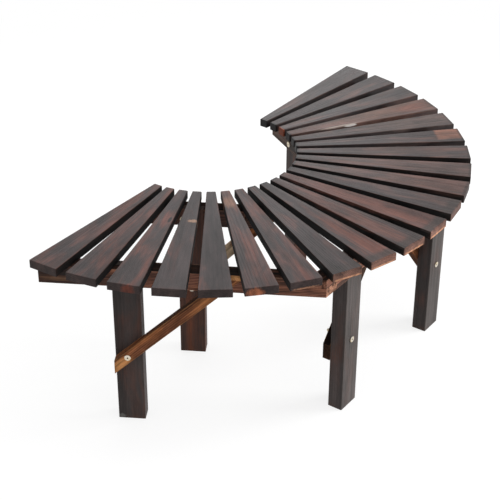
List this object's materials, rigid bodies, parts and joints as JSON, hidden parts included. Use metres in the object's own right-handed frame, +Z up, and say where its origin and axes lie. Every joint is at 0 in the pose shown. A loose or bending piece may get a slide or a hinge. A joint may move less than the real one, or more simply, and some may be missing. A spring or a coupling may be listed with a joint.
{
  "type": "half-round tree bench",
  "caption": "Half-round slatted timber bench that stands against a tree, on half-lapped rails with braced legs.",
  "frame": {"origin": "on the floor, under the middle of the bench's bounding box", "axes": "+X along the straight side, from the left end to the right; +Y from the round front to the straight side that stands against the tree; +Z up"},
  "size_m": [1.402, 0.7, 0.457],
  "materials": {
    "slat_wood": "charred and brushed softwood with a thin dark stain, satin",
    "rail_wood": "dark red-brown stained softwood, satin",
    "leg_wood": "charred near-black softwood, matt",
    "brace_wood": "brown stained softwood with paler worn edges, satin",
    "zinc_steel": "yellow zinc plated steel, slightly dull"
  },
  "bodies": {
    "root": {"brace_foot_bolts": "zinc_steel", "brace_foot_nuts": "zinc_steel", "brace_foot_washers": "zinc_steel", "brace_top_bolts": "zinc_steel", "brace_top_nuts": "zinc_steel", "brace_top_screws": "zinc_steel", "brace_top_washers": "zinc_steel", "front_brace_left": "brace_wood", "front_brace_right": "brace_wood", "front_leg_left": "leg_wood", "front_leg_right": "leg_wood", "inner_brace_left": "brace_wood", "inner_brace_right": "brace_wood", "inner_leg_left": "leg_wood", "inner_leg_right": "leg_wood", "inner_rail_front": "rail_wood", "inner_rail_left": "rail_wood", "inner_rail_right": "rail_wood", "inner_slat_screws": "zinc_steel", "lap_screws": "zinc_steel", "leg_bolts": "zinc_steel", "leg_nuts": "zinc_steel", "leg_washers": "zinc_steel", "outer_rail_front": "rail_wood", "outer_rail_left": "rail_wood", "outer_rail_right": "rail_wood", "outer_slat_screws": "zinc_steel", "side_brace_left": "brace_wood", "side_brace_right": "brace_wood", "side_leg_left": "leg_wood", "side_leg_right": "leg_wood", "slat_01": "slat_wood", "slat_02": "slat_wood", "slat_03": "slat_wood", "slat_04": "slat_wood", "slat_05": "slat_wood", "slat_06": "slat_wood", "slat_07": "slat_wood", "slat_08": "slat_wood", "slat_09": "slat_wood", "slat_10": "slat_wood", "slat_11": "slat_wood", "slat_12": "slat_wood", "slat_13": "slat_wood", "slat_14": "slat_wood", "slat_15": "slat_wood", "slat_16": "slat_wood", "slat_17": "slat_wood", "slat_18": "slat_wood", "slat_19": "slat_wood", "slat_20": "slat_wood", "slat_21": "slat_wood"}
  },
  "joints": []
}
